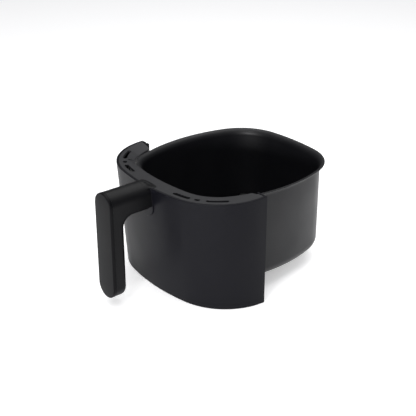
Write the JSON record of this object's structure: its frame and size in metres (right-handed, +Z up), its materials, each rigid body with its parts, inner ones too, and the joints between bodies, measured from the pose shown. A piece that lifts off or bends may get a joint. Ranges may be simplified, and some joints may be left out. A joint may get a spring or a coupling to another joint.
{
  "type": "air fryer drawer",
  "caption": "Pull-out air fryer drawer: deep rounded-square pan, curved fascia with a vented bezel, L-shaped handle and a lift-out crisper plate.",
  "frame": {"origin": "centre of the pan's flat base, on its underside", "axes": "+Z up, -Y out of the cooker towards the user and the handle, +X to the right of a user facing the drawer"},
  "size_m": [0.2512, 0.3323, 0.1602],
  "materials": {
    "non_stick_pan": "satin black non-stick coating",
    "non_stick_plate": "satin black non-stick coating",
    "fascia_plastic": "satin black moulding",
    "cover_plastic": "matt black moulding",
    "bezel_plastic": "fine-textured dark grey moulding",
    "handle_plastic": "smooth satin black moulding",
    "bare_steel": "zinc plated",
    "silicone": "matt black"
  },
  "bodies": {
    "drawer": {"pan": "non_stick_pan", "pan_mount_plate": "bare_steel", "standoff_1": "bare_steel", "standoff_2": "bare_steel", "standoff_3": "bare_steel", "standoff_4": "bare_steel", "fascia_inner_cover": "cover_plastic", "fascia_outer_shell": "fascia_plastic", "bezel": "bezel_plastic", "handle_core": "bare_steel", "handle_root_pad": "fascia_plastic", "handle_neck_collar": "handle_plastic", "handle_body": "handle_plastic", "handle_front_cover": "handle_plastic", "fascia_screw_1": "bare_steel", "fascia_screw_2": "bare_steel", "fascia_screw_3": "bare_steel", "fascia_screw_4": "bare_steel", "bezel_screw_1": "bare_steel", "bezel_screw_2": "bare_steel", "bezel_screw_3": "bare_steel", "bezel_screw_4": "bare_steel", "handle_screw_1": "bare_steel", "handle_screw_2": "bare_steel", "handle_washer_1": "bare_steel", "handle_washer_2": "bare_steel", "handle_nut_1": "bare_steel", "handle_nut_2": "bare_steel"},
    "crisper": {"crisper_plate": "non_stick_plate", "crisper_foot_1": "silicone", "crisper_foot_2": "silicone", "crisper_foot_3": "silicone", "crisper_foot_4": "silicone"}
  },
  "joints": [
    {"name": "crisper_lift", "type": "slide", "parent": "drawer", "child": "crisper", "axis": [0, 0, 1], "range_m": [0, 0.15]}
  ]
}
